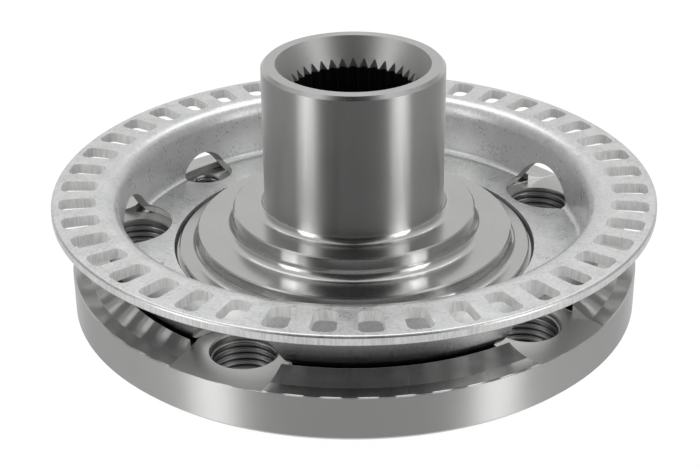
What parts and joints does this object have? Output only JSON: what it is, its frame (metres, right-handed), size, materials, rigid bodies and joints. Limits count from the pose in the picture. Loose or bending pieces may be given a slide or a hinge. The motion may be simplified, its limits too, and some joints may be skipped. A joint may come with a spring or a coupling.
{
  "type": "wheel hub",
  "caption": "Driven wheel hub: flanged forging with a splined bore, stepped bearing neck and threaded wheel-bolt holes, and a pressed sheet-steel sensor ring round it.",
  "frame": {"origin": "centre of the face that the brake disc bolts to", "axes": "+Z along the hub axis towards the bearing neck, +X through the first wheel-bolt hole"},
  "size_m": [0.1332, 0.1332, 0.0667],
  "materials": {
    "hub_steel": "turned and milled forged steel",
    "ring_zinc": "satin zinc plate on pressed steel sheet"
  },
  "bodies": {
    "root": {"hub": "hub_steel", "sensor_ring": "ring_zinc"}
  },
  "joints": []
}
